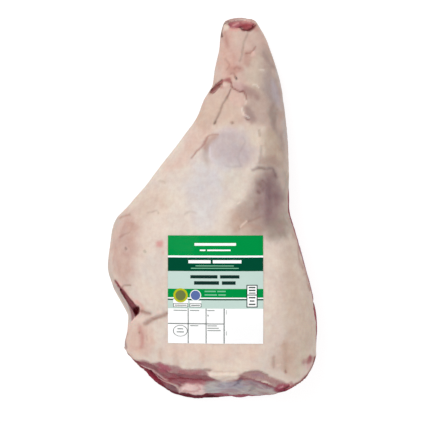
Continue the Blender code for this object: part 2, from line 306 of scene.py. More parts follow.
# Fields of colour on the skin, some of them painted shade, in pixels of the photograph, laid in this order
fields = {
    'shankSkin': area(7, '#CFB3A6', 0.95, (214, 36), (224, 22), (256, 22), (270, 44), (284, 100), (288, 150),
        (262, 130), (226, 120), (196, 122), (190, 118), (206, 88)),
    # painted shade along the left edge of the shank, where it turns away from the light
    'shankLeftShade': stroke(5, '#CBBAB0', 0.6, (219, 42), (216, 66), (206, 92), (196, 112), (184, 132)),
    'shankRose': area(6, '#CDA296', 0.65, (222, 32), (231, 32), (236, 58), (240, 74), (226, 80), (221, 58)),
    'shankSand': area(6, '#C8B8A8', 0.7, (248, 58), (262, 56), (263, 90), (254, 96), (246, 80)),
    # painted shade down the right side of the shank, where it turns away from the light, in lilac, brown and
    # grey patches
    'rightShade': area(9, '#B3A096', 0.75, (258, 50), (270, 56), (280, 90), (287, 130), (289, 160), (276, 158),
        (268, 130), (260, 100), (262, 76)),
    'rightShadeLilac': area(4, '#A39492', 0.6, (264, 72), (272, 72), (277, 92), (276, 104), (268, 98), (264, 84)),
    'rightShadeBrown': area(3, '#95837B', 0.65, (267, 104), (273, 103), (277, 117), (275, 124), (268, 114)),
    'rightShadeStreak': area(4, '#9A8883', 0.5, (270, 122), (276, 124), (283, 146), (278, 150), (272, 134)),
    'rightPale': stroke(4, '#C4B8B3', 0.75, (274, 54), (280, 84), (285, 112), (288, 142)),
    'kneeSand': area(7, '#D2BAA9', 0.7, (198, 116), (214, 96), (236, 100), (244, 110), (238, 124), (214, 127)),
    'kneeLeft': area(5, '#C4A796', 0.6, (194, 120), (206, 116), (212, 126), (204, 134), (195, 132)),
    'kneeShade': area(5, '#B8A399', 0.7, (245, 90), (258, 92), (267, 110), (266, 124), (254, 122), (246, 108)),
    'butter': area(5, '#DACABA', 0.8, (246, 124), (261, 125), (263, 138), (257, 150), (248, 144)),
    'rightSand': area(5, '#C0AA97', 0.8, (262, 134), (273, 134), (284, 160), (287, 178), (273, 164),
        (262, 154)),
    'thighCream': area(10, '#DDD0C4', 0.85, (166, 188), (190, 164), (240, 168), (246, 186), (236, 210),
        (220, 232), (160, 232), (150, 214)),
    'thighPink': area(8, '#D9BCAE', 0.8, (190, 128), (214, 126), (206, 140), (192, 158), (172, 173),
        (164, 170), (180, 148)),
    'thighEdge': stroke(6, '#DCCFC2', 0.65, (180, 140), (164, 160), (146, 184), (132, 202)),
    'oval': area(7, '#C5B6B6', 0.9, (216, 134), (230, 128), (242, 131), (251, 146), (252, 162), (236, 168),
        (216, 168), (208, 157), (209, 143)),
    'ovalCore': area(6, '#BCADAE', 0.5, (222, 138), (232, 136), (240, 142), (240, 160), (230, 166),
        (221, 160)),
    'blueWhite': area(12, '#D2CBCA', 0.85, (194, 160), (212, 160), (228, 162), (236, 170), (224, 190),
        (214, 214), (199, 214), (186, 190)),
    'blueLower': area(8, '#DAD3D0', 0.6, (192, 206), (210, 206), (212, 226), (196, 230)),
    'creamGlow': area(5, '#D6CABE', 0.8, (222, 172), (240, 170), (244, 184), (230, 192), (220, 186)),
    'flankTop': area(8, '#D4BEAF', 0.75, (132, 200), (152, 188), (168, 194), (166, 210), (150, 220),
        (136, 218)),
    'flankRose': area(10, '#CAAA9E', 0.9, (113, 224), (126, 212), (142, 222), (142, 248), (134, 276),
        (122, 286), (111, 272), (109, 248)),
    # painted shade along the left edge of the flank, where it turns away from the light
    'flankEdgeShade': stroke(3.5, '#C3B5AB', 0.6, (116, 217), (109, 237), (106, 262), (111, 280)),
    'middlePale': area(8, '#DFCEC1', 0.7, (140, 216), (166, 214), (168, 300), (150, 310), (138, 294),
        (136, 262)),
    'coolPatch': area(6, '#DACEC5', 0.6, (145, 256), (164, 256), (166, 276), (150, 284), (142, 270)),
    'lobeRose': area(6, '#D7B7A9', 0.85, (128, 327), (142, 322), (153, 332), (152, 350), (138, 357),
        (127, 350)),
    'lobePale': stroke(4, '#DDC0B3', 0.7, (131, 326), (129, 340), (132, 353)),
    'bandPink': area(6, '#E6CCBC', 0.6, (166, 342), (258, 342), (258, 357), (214, 359), (166, 356)),
    'bandCream': area(4, '#E7D4C4', 0.7, (206, 362), (248, 359), (262, 367), (236, 374), (208, 372)),
    'besideLabel': area(6, '#E2D1C4', 0.75, (264, 242), (276, 240), (284, 262), (284, 330), (274, 345),
        (264, 345)),
    'rightTan': area(9, '#CFBAAA', 0.8, (288, 238), (296, 252), (307, 290), (315, 320), (314, 352), (300, 372),
        (286, 366), (284, 300), (281, 262)),
    'rightBlush': stroke(3.6, '#AE8176', 0.65, (287, 198), (289.6, 215), (292.6, 230), (296.8, 245),
        (301.4, 260), (306, 275), (310, 289)),
    'rightRust': area(7, '#CBAD9C', 0.6, (276, 348), (291, 340), (295, 366), (286, 374), (274, 366)),
    'rightOlive': stroke(6, '#C9BBA9', 0.6, (303, 345), (304, 358), (296, 374)),
    'hollowWarm': area(7, '#BC9F90', 0.8, (231, 214), (250, 204), (266, 220), (263, 236), (234, 236),
        (226, 228)),
    # painted shade in the hollow behind the knee, darkest in its middle, over the purplish brown of the meat
    # there
    'hollowShadeFade': area(8, '#AE9A91', 0.8, (261, 172), (267, 159), (279, 165), (287, 190), (290, 232),
        (278, 240), (262, 236), (250, 228), (239, 205), (251, 188)),
    'hollowShadeCore': area(7, '#947979', 0.85, (266, 177), (271, 173), (276, 184), (280, 200), (279, 218),
        (272, 228), (262, 221), (257, 208), (259, 191)),
    'hollowPlumShade': area(6, '#856A6D', 0.5, (265, 184), (275, 182), (280, 196), (276, 209), (267, 207),
        (264, 195)),
    'hollowOlive': area(5, '#9E9182', 0.55, (267, 222), (283, 214), (288, 232), (280, 240), (267, 236)),
    'hollowPink': area(3, '#AC908B', 0.6, (274, 224), (282, 223), (282, 233), (275, 233)),
    'hollowRim': stroke(3.2, '#B9ACA1', 0.65, (283.5, 172), (284.5, 192), (286, 210), (289, 228)),
}

# Marks on the skin, in the same pixels
marks = {
    # round the sawn end of the shank
    'endArc': stroke(1.5, '#4A2E2C', 0.9, (222.2, 36.5), (221.8, 30.5), (224, 25.2), (228.6, 21.6), lift=-0.3),
    'endCream': area(1.0, '#E5D0BF', 0.85, (223.6, 26), (227, 22.8), (229.6, 24), (229.6, 29), (225, 31),
        lift=0.5),
    'endShelf': area(1.0, '#D8A79E', 0.75, (229, 28.2), (240, 28), (240, 31), (230, 31), lift=0.4),
    'endRight': area(1.5, '#C3928B', 0.6, (253, 24), (257, 26), (258, 31), (253.6, 31)),
    # painted shade along the lower edge of the sawn end, over its dark red
    'endShade': area(1.2, '#742A32', 0.85, (239.6, 26), (242.6, 31), (246, 30.4), (249, 32), (253, 29.8),
        (256, 25), (250, 26.4), (244, 26.4), lift=-0.5, wet=0.8),
    # the shank
    'shankStreak': stroke(3.2, '#B98E82', 0.6, (225.6, 34), (226.6, 40), (228.6, 47)),
    'upperVein': stroke(2.0, '#A78E82', 0.65, (248, 33), (244.6, 40.5), (243.2, 47.5), (242.2, 53.5),
        (240.2, 61), lift=-0.25),
    'scrapPatch': area(2.4, '#B98D82', 0.5, (246, 50), (253, 52), (251, 62), (247, 67), (243, 60)),
    'scrapLine': stroke(1.4, '#A2746A', 0.7, (255.6, 46.8), (253, 51), (249.8, 53.4), (246, 53), lift=-0.35),
    'scrapLump': area(1.2, '#E2C0B4', 0.7, (251, 53.4), (254, 51.6), (255.6, 54.4), (252, 56.4), lift=0.6),
    'scrapFold': stroke(2.2, '#AF857B', 0.6, (225, 59.2), (229.6, 65), (226.4, 69.5), lift=-0.3),
    'scrapBlotch': area(2.2, '#B38278', 0.5, (229, 66), (240, 66), (244, 70), (235, 74), (229, 73)),
    'scrapTick': stroke(1.6, '#A0756C', 0.5, (234, 69), (236.5, 67.2), (240, 68.4), lift=-0.2),
    'pinTrail': stroke(1.6, '#A0766D', 0.6, (230.6, 74), (233.2, 73.6), (234.8, 76.2), lift=-0.3),
    'pinPrick': stroke(1.5, '#2E1A1A', 0.95, (235.6, 77.4), (236.6, 79), lift=-0.8),
    'rightSpot': stroke(3.8, '#A28984', 0.6, (263.4, 53), (266, 59), (270, 63.6), (272.4, 67)),
    'shankGlint': stroke(1.3, '#E4D8CD', 0.7, (253.4, 84.6), (256, 85.2), (258.4, 87.6), lift=0.3),
    'shankGlintUp': stroke(1.3, '#E0D3C8', 0.6, (259.6, 70.4), (263.4, 70), lift=0.25),
    'rightLilac': area(2.6, '#BFB2B6', 0.7, (271, 78), (276, 84), (281, 102), (281, 110), (276, 104),
        (272, 92)),
    # the cut across the tendon
    'tendonMauve': area(2.4, '#C29C9A', 0.7, (233, 82), (242, 83), (248, 87), (243, 91), (236, 89)),
    # painted shade beside the cut across the tendon
    'tendonShade': area(3.4, '#A07F7A', 0.75, (243, 86), (251, 87), (258, 93), (258, 100), (250, 97),
        (244, 92)),
    'tendonOpening': area(1.0, '#A96A6B', 0.9, (210, 92), (216.4, 84.2), (222.3, 80), (223.3, 82),
        (217.5, 88.6), (212.6, 93), lift=-0.5, wet=0.5),
    'tendonUpperLip': stroke(1.3, '#5E2E30', 0.8, (210.2, 92), (213, 88), (216, 84.2), (221.8, 79.6),
        lift=-0.5, wet=0.5),
    'tendonLowerLip': stroke(1.2, '#6B393A', 0.65, (211.6, 93.4), (217.5, 89), (220, 86.4), lift=-0.3),
    'tendonRed': area(1.3, '#9E5A5B', 0.75, (222, 79.6), (229, 77.8), (231.4, 82.6), (226, 82), wet=0.5),
    # the darker colour of this crease is painted shade, besides the sunk line
    'tendonCrease': stroke(1.6, '#8A534F', 0.85, (231, 82.2), (231.6, 86), (234.5, 89.2), (239.5, 91.5),
        (243.4, 91.4), (245.6, 95), (246.4, 99), lift=-0.9),
    'tendonFlap': area(2.4, '#D8B8AB', 0.75, (232, 91), (240, 93.5), (244.6, 95.6), (246, 103), (239, 108),
        (230, 100), lift=0.7),
    'flapGlint': stroke(1.4, '#E6D2C4', 0.7, (244.6, 98), (246, 102), (244.8, 105), lift=0.3),
    'tendonScraps': stroke(1.5, '#B77F78', 0.6, (220.6, 88), (222.6, 87), (224.8, 84.6), lift=0.35),
    'tendonLump': area(0.9, '#E6C9BC', 0.7, (223, 84), (226.4, 83.4), (227, 86), (223.6, 87), lift=0.5),
    'veinTop': stroke(1.5, '#7E5F58', 0.85, (231, 89.6), (229.4, 93), (227, 98), lift=-0.5),
    'lowerVein': stroke(1.9, '#9C8376', 0.8, (227, 98), (222.6, 104.6), (218.2, 115.8), (214.6, 122.6),
        lift=-0.4),
    'veinFoot': stroke(1.9, '#7C6456', 0.7, (214.9, 121.6), (214.2, 123.4)),
    # the knee
    # painted shade beside the glints of the knee
    'shadeBesideGlint': area(2.6, '#9C8580', 0.7, (244.6, 106), (250, 108), (255, 116), (256, 122), (249, 121),
        (245, 115)),
    'glintShade': area(0.9, '#7C5B58', 0.75, (244.4, 116.4), (248, 116.6), (249.8, 119.8), (246.6, 120.2),
        lift=-0.5),
    'glintUpright': stroke(1.3, '#F0E2D6', 0.85, (242.5, 107.6), (242.3, 111), (242.7, 114.4), lift=0.8),
    'glintLevel': stroke(1.3, '#EFE2D8', 0.8, (244, 115.2), (246.6, 116.2), (248.8, 117.8), lift=0.8),
    'kneePit': area(1.1, '#8B7461', 0.7, (231, 121.6), (233.4, 121.6), (233.4, 124), (231.4, 124), lift=-0.5),
    'oliveTick': stroke(1.7, '#A79481', 0.7, (259.4, 130), (260, 136)),
    'rightGroove': stroke(2.6, '#A9958A', 0.55, (261.6, 146), (261, 154), (259.4, 163), lift=-0.3),
    # silver skin over the thigh
    'ovalShade': stroke(5.0, '#B8A59C', 0.6, (206.4, 145), (205, 154), (207, 163)),
    'ovalRing': stroke(2.0, '#D8CDD0', 0.7, (210.4, 148), (210.6, 156), (214.4, 163), lift=0.25),
    'ovalCrest': stroke(3.0, '#D3C1C0', 0.6, (220, 131), (228, 128.6), (236, 130), lift=0.2),
    'ovalSeam': stroke(2.0, '#AFA0A2', 0.45, (243.4, 137), (245, 143), (240.6, 150), (238, 159), (241, 166),
        lift=-0.2),
    'ovalFoot': stroke(1.8, '#B3A6A6', 0.4, (226, 165.6), (234, 167), (240, 166)),
    'ridgeShade': area(2.2, '#B9998D', 0.7, (206, 138), (215, 134), (218, 137), (211, 143), (205, 150),
        (202, 147)),
    'thighRidge': stroke(1.7, '#AE8076', 0.7, (218, 134), (209, 135.6), (203.4, 144.4), (197, 150.8),
        (191, 158), lift=-0.5),
    # the hollow behind the knee
    'hollowBrow': stroke(3.0, '#80696A', 0.65, (253, 170), (259, 168), (266, 168.6), (272, 168), (275, 172),
        (276.6, 177), lift=-0.5),
    'browOlive': stroke(2.6, '#85715F', 0.5, (259, 168.2), (264, 168.4)),
    'aboveBrow': area(3.4, '#AC9186', 0.6, (262, 156), (274, 156), (279, 166), (270, 165), (261, 164)),
    'hollowFlecks': stroke(2.0, '#7E6260', 0.55, (262.4, 180), (264.6, 182.4), (266.4, 184), lift=-0.3),
    'hollowFleck': stroke(2.4, '#8D7668', 0.6, (259.6, 184), (261, 186)),
    'hollowSpotUp': stroke(2.4, '#84635F', 0.7, (258, 192.4), (259.4, 193.4)),
    'hollowSpot': area(1.8, '#8C7364', 0.6, (254.4, 203), (257.6, 203), (258, 208.6), (254.6, 208.6)),
    'hollowLight': stroke(1.6, '#A28588', 0.5, (267, 198), (264.6, 193), (266, 188)),
    'hollowBand': stroke(3.0, '#A98E8E', 0.5, (262, 214), (264, 204), (262, 198)),
    'hollowStreak': stroke(2.2, '#A07F75', 0.65, (248.5, 221.4), (254, 219.4), (260.6, 217), lift=-0.35),
    'warmStreak': stroke(3.0, '#B99587', 0.5, (241, 227), (250, 225.6), (260, 228)),
    'glintLow': stroke(1.3, '#EBDCCB', 0.75, (238.4, 203.8), (239.8, 202), lift=0.4),
    'glintLower': stroke(1.3, '#E6D0C2', 0.7, (240.6, 227.6), (242.6, 224.6), (246, 221), lift=0.4),
    'glintShadow': stroke(1.6, '#A98878', 0.6, (238, 226.4), (239.6, 229)),
    # the flank
    # the darker colour of this crease is painted shade, besides the sunk line
    'cornerCrease': stroke(1.9, '#B39282', 0.6, (119.5, 218.6), (123, 216), (129.5, 214.4), lift=-0.4),
    'flankFold': stroke(3.0, '#C09A8C', 0.5, (128, 231), (131, 228), (132.4, 224), lift=-0.2),
    # the darker colour of this crease is painted shade, besides the sunk line
    'flankCrease': stroke(1.8, '#AE8A80', 0.55, (119.8, 237), (124, 234.6), (129, 232.6), lift=-0.3),
    'flankDot': stroke(1.5, '#84675A', 0.85, (125.6, 248), (126.2, 249.2), lift=-0.4),
    'blushSpot': area(2.2, '#D3938F', 0.85, (156, 242), (160, 240.6), (163, 242.6), (162, 246), (157, 246.4)),
    'blushSpotLow': area(1.6, '#DDB2A8', 0.7, (161.6, 251), (163.6, 251), (163.6, 254), (162, 254)),
    'oliveDot': stroke(1.9, '#A69886', 0.6, (144.6, 250.8), (145.4, 252), lift=-0.2),
    'smallArc': stroke(1.6, '#B9A598', 0.6, (147.8, 213), (152, 211.6), (157, 210.6), (158.4, 213), lift=-0.3),
    'smallArcRight': stroke(1.8, '#BDB0A6', 0.5, (185, 213.4), (189, 211.8), (194, 212), (196.4, 213.4),
        lift=-0.25),
    'edgeTick': stroke(2.2, '#BFAD9C', 0.5, (160, 181), (165, 182.6)),
    # the pocket in the flank and the fold beside it
    'pocketSkin': area(2.0, '#BFADA8', 0.65, (111, 284), (116, 284), (124, 297), (130, 308), (131, 323),
        (126, 318), (118, 300)),
    'pocketMauve': area(1.3, '#96696C', 0.85, (124, 296), (130, 300), (134.6, 305), (135, 314), (132.4, 322),
        (129, 312), lift=-0.5),
    'pocketSlit': stroke(1.9, '#7E343C', 0.95, (115.2, 281), (118.6, 286.4), (122.6, 291.6), (127, 298),
        (131.6, 303.6), lift=-0.6, wet=0.7),
    'pocketRed': area(1.1, '#9C5C62', 0.75, (122.6, 290), (127.4, 294.6), (131, 300), (136, 306), (133, 308),
        (128, 301), lift=-0.3, wet=0.8),
    # painted shade deep in the end of the pocket, over dark red
    'pocketDepthShade': area(1.1, '#45030A', 1.0, (133.4, 307), (138.6, 307.2), (139.4, 310.4), (136.6, 316),
        (133.6, 314.4), lift=-0.8, wet=0.6),
    'pocketFlap': stroke(2.4, '#D8AEA2', 0.85, (137, 301.6), (140.6, 304.6), (142.6, 308), (141.4, 311.6),
        lift=0.3),
    'slitGlow': stroke(1.3, '#C77A7E', 0.7, (117.6, 282), (121, 286.6), (124.6, 291), lift=0.2),
    'pocketLip': stroke(1.6, '#E3BDB0', 0.75, (119, 281.4), (125.4, 289), (132.2, 298), (137.6, 303.4),
        lift=0.4),
    # the darker colour of this crease is painted shade, besides the sunk line
    'pocketCrease': stroke(1.6, '#A78D80', 0.75, (121.6, 286.8), (125, 285.4), (130.8, 285.4), lift=-0.4),
    'foldLip': area(1.4, '#E4CBBD', 0.65, (133, 322), (137, 317.6), (141.4, 313.8), (148, 315.2), (154, 315.8),
        (149.6, 320.6), (142, 323.4), (136, 324), lift=0.9),
    'foldEdge': stroke(1.4, '#F2CDC2', 0.95, (132.2, 322.4), (136.6, 317.4), (141, 312.6), lift=0.8),
    # the darker colour of this crease is painted shade, besides the sunk line
    'foldCrease': stroke(2.4, '#B4897E', 0.7, (141.6, 311), (145, 312.4), (149.6, 313.6), lift=-0.6),
    'foldLight': stroke(2.2, '#EAD3C6', 0.6, (151, 317.6), (154.6, 314), (160, 312), lift=0.5),
    'foldShade': stroke(3.6, '#9F766B', 0.8, (145.4, 323.8), (149, 321.6), (153.4, 319), (160, 317),
        (168, 314), lift=-1.1),
    # the lobe beside the chump cut
    'lobeStreak': stroke(4.2, '#C48E87', 0.65, (139.6, 327), (141.6, 335), (142.2, 343), (141, 347),
        lift=-0.3),
    'lobeTick': stroke(1.6, '#B78A84', 0.5, (146.6, 336), (147.2, 340)),
    'lobeDot': stroke(1.2, '#8A6A50', 0.6, (139.2, 332), (139.6, 333.4)),
    'lobeRim': stroke(2.0, '#9C7C7A', 0.75, (126.6, 333), (125.2, 341), (126.2, 348)),
    'rippleLeft': stroke(4.0, '#CFAFA0', 0.55, (160.4, 350), (160.8, 359), lift=-0.4),
    'rippleNext': stroke(4.6, '#CFB1A2', 0.5, (176, 354), (177, 364), lift=-0.35),
    'rippleMid': stroke(4.6, '#D8BAAB', 0.5, (203, 352), (203.6, 362), lift=-0.3),
    'rippleRight': stroke(2.6, '#B2978A', 0.6, (273.8, 357), (274, 367), lift=-0.4),
    'rippleFar': stroke(5.0, '#BD9E8C', 0.55, (285.4, 346), (286, 358), (286, 368), lift=-0.4),
    'rippleDot': stroke(1.9, '#9A7066', 0.75, (285.4, 371), (286.2, 372.4), lift=-0.3),
    'rippleGlint': stroke(1.4, '#EAD6C9', 0.6, (276.6, 365.6), (280, 365.2), lift=0.3),
    'redSpot': area(2.0, '#A3606A', 0.65, (302.6, 361), (305, 359.4), (307, 362), (305, 364.6), (303, 364),
        lift=-0.3, wet=0.3),
    'redSpotEdge': area(1.6, '#9C4653', 0.75, (306.6, 359.6), (310.4, 355.4), (312.8, 357.6), (311.6, 362.6),
        (307.6, 364), wet=0.4),
    'redSpotPale': area(2.2, '#D9A3A5', 0.6, (306, 366), (309, 363.6), (312, 365), (308, 369)),
}

# The walls inside the slit of the flank, in the same pixels, and a dip without a colour below it
wallMarks = {
    'slitWall': area(0.9, '#94525A', 0.85, (115, 280), (119, 284), (125, 290.6), (130.6, 297.6),
        (135.6, 303.6), (139.6, 306.8), (140.4, 310.8), (137.6, 317), (133.4, 315), (129.2, 305),
        (122.4, 294.6), wet=0.7),
    # painted shade on the walls deep in the end of the slit
    'slitEndShade': area(1.0, '#50101A', 0.9, (133, 306.4), (138.8, 306.6), (140, 310.6), (137, 317),
        (133.2, 314.6)),
    'lobeSink': {'line': [(115, 291), (120, 299), (125, 308), (127, 316)], 'width': 6, 'lift': -2.4},
    'slitBrow': stroke(2.6, '#DDB3A7', 0.8, (136.6, 301.4), (140.8, 304.4), (143, 308), (141.8, 312)),
}

# Marks where the skin turns under at the outline, in the same pixels
edgeMarks = {
    'cornerRed': stroke(2.0, '#7A1B2D', 0.85, (315, 357), (314, 364), (310, 372), (303, 380), (292, 387),
        wet=0.7),
}

# The face of the chump cut, in millimetres across and up, laid in this order over the lean
faceMarks = {
    'dryBand': area(3, '#9A696C', 0.85, (-68, 34), (-64, 50), (-50, 60), (-36, 66), (-18, 72), (2, 76),
        (6, 66), (-12, 59), (-34, 55), (-46, 46), (-58, 34)),
    'roseLean': area(3, '#B26E75', 0.8, (-52, 30), (-44, 47), (-30, 54), (-8, 57), (-10, 50), (-30, 44),
        (-42, 28)),
    'roseSpots': area(2.4, '#B3606C', 0.8, (-54, 50), (-48, 52), (-46, 57), (-52, 57)),
    'roseSpotNext': area(2.4, '#A85A66', 0.8, (-40, 50), (-36, 56), (-34, 62), (-38, 62)),
    'redArc': stroke(2.6, '#8A3540', 0.85, (-42, 42), (-36, 48), (-26, 51), (-8, 57), lift=-1.0),
    'crimsonLeft': area(3, '#7C1C31', 0.95, (-86, 4), (-74, 30), (-64, 42), (-52, 34), (-46, 18), (-48, 2),
        (-66, -4), lift=-0.6),
    'crimsonGlow': area(4, '#9E3147', 0.7, (-66, 20), (-60, 32), (-54, 26), (-56, 14), lift=0.8),
    'crimsonGap': stroke(3.0, '#520A1A', 0.9, (-66, 36), (-60, 38), (-56, 34), lift=-1.4),
    'greyLean': area(3, '#8E6A70', 0.8, (-48, 20), (-44, 30), (-36, 33), (-32, 22), (-40, 15)),
    'threadUpper': stroke(2.2, '#E0BCB8', 0.8, (-68, 40), (-62, 44), (-54, 43), (-46, 39), lift=0.8, wet=0.3),
    'threadLower': stroke(2.4, '#E2C8C0', 0.85, (-56, 36), (-46, 34), (-40, 36), (-34, 30), (-31, 18),
        lift=0.9, wet=0.3),
    'salmon': area(2.4, '#BC7880', 0.85, (-30, 38), (-18, 50), (-6, 53), (-6, 44), (-20, 40), wet=0.6),
    'paleFat': area(3.4, '#FADAD4', 0.95, (-33, 17), (-30, 32), (-20, 42), (-5, 44), (-6, 34), (-3, 24),
        (-16, 19), lift=0.9, wet=0.2),
    'paleFatPink': stroke(2.4, '#CB8F90', 0.65, (-14, 42), (-12, 34), (-18, 28), (-26, 26)),
    'membrane': area(3.4, '#C2B9B6', 0.95, (-7, 26), (-8, 40), (-6, 50), (4, 60), (22, 58), (36, 63), (52, 60),
        (62, 52), (68, 44), (60, 32), (66, 20), (54, 18), (46, 9), (36, 17), (26, 19), (16, 10), (8, 22),
        lift=0.6, wet=0.25),
    'membranePale': area(4, '#C6C6C4', 0.75, (-5, 26), (-3, 42), (6, 46), (14, 32), (6, 22)),
    'membraneLilac': area(5, '#ACA2AE', 0.85, (5, 30), (8, 55), (24, 59), (34, 52), (33, 38), (22, 27)),
    'membraneBlush': area(5, '#B48F90', 0.6, (10, 18), (24, 23), (22, 31), (9, 28)),
    'membraneBlushFar': area(5, '#AE9496', 0.5, (34, 22), (46, 26), (44, 36), (34, 32)),
    'membraneMauve': area(4, '#AB9298', 0.9, (30, 50), (36, 66), (52, 63), (58, 54), (44, 46), wet=0.5),
    'membraneBeige': area(5, '#C2B4AE', 0.85, (42, 14), (40, 38), (54, 44), (66, 40), (64, 20)),
    'membraneFlesh': area(4, '#A07A7E', 0.6, (44, 22), (50, 36), (58, 34), (54, 20), lift=-0.7, wet=0.6),
    'membraneSlit': stroke(2.8, '#776A78', 0.75, (29, 64), (25, 55), (22, 46), lift=-1.0),
    'membraneFold': stroke(3.6, '#8C7A80', 0.5, (38, 60), (42, 46), (38, 30), (44, 16), lift=-0.9),
    'membraneThread': stroke(3.2, '#D2CAC7', 0.5, (-2, 48), (8, 39), (20, 37), (34, 28), (50, 20), lift=0.4),
    'membraneThreadUp': stroke(3.0, '#CCC5C6', 0.45, (10, 58), (14, 48), (12, 36), lift=0.3),
    'membraneThreadFar': stroke(2.6, '#CFC1BD', 0.5, (46, 60), (54, 50), (64, 46), lift=0.3),
    'roseBand': stroke(5, '#A05C6C', 0.85, (4, 18), (20, 11), (40, 9), (60, 11), lift=0.4, wet=0.7),
    'darkFoot': area(3, '#621024', 0.95, (-54, -6), (-46, 12), (-34, 20), (-22, 23), (-7, 21), (4, 9), (20, 5),
        (44, 3), (60, 4), (90, 6), (90, -6), wet=1.0),
    'darkFootGap': area(3, '#36060F', 0.7, (-8, 3), (-6, 13), (2, 10), (4, 3), lift=-0.6),
    # swellings and a dip at the foot of the cut, which only shape it
    'footRight': {'area': [(20, 0), (22, 26), (34, 36), (54, 36), (64, 26), (66, 0)], 'soft': 8, 'lift': 2.4},
    'footMiddle': {'area': [(22, -4), (24, 30), (40, 34), (42, -4)], 'soft': 6, 'lift': 1.4},
    'footLeft': {'area': [(-46, 0), (-44, 24), (-32, 30), (-14, 26), (-10, 0)], 'soft': 7, 'lift': 2.3},
    'footFarLeft': {'area': [(-64, 0), (-63, 26), (-58, 32), (-52, 26), (-52, 0)], 'soft': 5, 'lift': 1.8},
    'footCorner': {'area': [(75, 0), (75, 60), (86, 60), (88, 0)], 'soft': 5, 'lift': -1.6},
    'crimsonRight': area(3, '#8E1F38', 0.85, (64, 4), (63, 28), (69, 52), (80, 61), (90, 56), (92, 30),
        (86, 6), wet=1.0),
    'crimsonRightGlow': area(4, '#A5314A', 0.7, (74, 44), (77, 56), (84, 54), (82, 44), lift=0.7),
    'rightSeam': stroke(2.2, '#D2AFA8', 0.7, (68, 50), (76, 40), (74, 24), (82, 8), lift=0.4, wet=0.4),
    'leftSeam': stroke(1.8, '#C99C9A', 0.6, (-78, 24), (-70, 22), (-64, 8), lift=0.3),
}

# What shows of the top of the cut from above, in pixels of the photograph
rimMarks = {
    'leanEdge': area(1.1, '#9A6A6E', 0.75, (137, 359.4), (146, 360.6), (153, 363), (160, 362), (166, 364.4),
        (178.6, 366), (184, 369), (204, 368.8), (211, 370), (207, 376), (190, 377), (176, 374), (160, 368),
        (146, 366), lift=-0.4, wet=0.5),
    'leanEdgeRed': area(1.8, '#A8566A', 0.75, (156, 363), (165, 364.4), (172, 370), (164, 371), wet=0.6),
    'leanEdgeRose': stroke(3.0, '#A9616C', 0.6, (180, 371.6), (190, 373.6), (200, 372.6), wet=0.6),
    'stripEdge': area(1.3, '#AC8785', 0.9, (235.4, 375.4), (243, 373), (252, 371), (257, 371), (263, 373),
        (272, 377), (285, 382), (290, 385.4), (282, 388), (272, 385.6), (266, 381.4), (252, 379), (240, 377.4),
        lift=0.2, wet=0.5),
    'stripLilac': stroke(2.2, '#A1808C', 0.7, (252, 375.4), (258, 374.6), (263, 376.6)),
    'stripBrown': stroke(1.5, '#7C5A54', 0.6, (243, 373.2), (252, 371.2), (258, 371.2), (268, 375)),
    'creamLip': area(1.9, '#EEDDCF', 0.92, (205.4, 371.4), (214, 372.4), (226, 373.4), (236, 373.4),
        (239, 376.6), (235, 379.6), (224, 380.4), (214, 378.4), (207.4, 375), lift=0.6, wet=0.05),
    'lipShade': stroke(2.2, '#A07579', 0.65, (205.4, 373), (210.4, 378), (216, 380.8), lift=-0.4),
    'lipLine': stroke(1.3, '#CBB3A4', 0.6, (212, 371.2), (222, 371.8), (234, 371.6), lift=-0.2),
    'brownTick': stroke(2.0, '#A08A7E', 0.7, (204.6, 369.6), (210.4, 370.4)),
    'crimsonCorner': area(1.7, '#9C2C4A', 0.75, (275, 387), (281, 383.6), (287, 384.4), (292, 382),
        (293.6, 386), (289, 391), (281, 393), (275, 391), wet=0.9),
    'cornerFleck': stroke(1.4, '#D9A2AC', 0.6, (279, 388.4), (283, 386.6)),
    'cornerDark': stroke(1.5, '#4A0A18', 0.8, (284, 389), (289, 386.4)),
    'cornerGap': stroke(1.6, '#420814', 0.9, (278, 392), (287, 391)),
    'cornerThread': stroke(1.0, '#E2C4B8', 0.7, (285, 381.4), (289.6, 383.4), (291.6, 386)),
}

# The sawn end of the shank, in millimetres across and up
endMarks = {
    'tissue': area(2, '#BC8380', 0.95, (15, 12), (13, 21), (16, 31), (24, 37), (38, 38), (45, 31), (45, 20),
        (40, 11), (26, 8)),
    'creamLeft': area(2, '#E2CCBC', 0.8, (9, 14), (11, 28), (16, 29), (17, 14)),
    'roseLeft': area(2.2, '#A65460', 0.9, (18, 13), (16, 25), (21, 31), (28, 29), (27, 20), (24, 13),
        lift=-0.5),
    'roseThread': stroke(1.6, '#D69F98', 0.8, (17, 24), (22, 24), (28, 23)),
    'paleLow': area(2, '#CB9792', 0.8, (29, 11), (30, 18), (38, 19), (43, 15), (38, 10)),
    'hole': area(2.0, '#A84650', 0.95, (26, 21), (25, 32), (30, 38), (38, 38), (44, 33), (44, 24), (38, 19),
        (30, 18)),
    'bone': area(2.4, '#C0757A', 0.5, (26.4, 26), (28.6, 30), (33, 31.4), (37.4, 29), (38.6, 24), (35.6, 19.6),
        (30.4, 19.6)),
    'marrow': area(1.8, '#983E4A', 0.85, (29.4, 25.4), (31.6, 28.6), (35, 27.6), (35.4, 23.8), (31.8, 22.4),
        lift=-0.4),
    'holeShade': stroke(3.0, '#571820', 0.85, (25, 29), (27, 34), (32, 36.6), (38.6, 36), (43.6, 30),
        lift=-0.4),
    'lowRim': stroke(2.0, '#A89390', 0.8, (12, 14), (20, 8.6), (32, 7.4), (42, 11), wet=0.2),
}

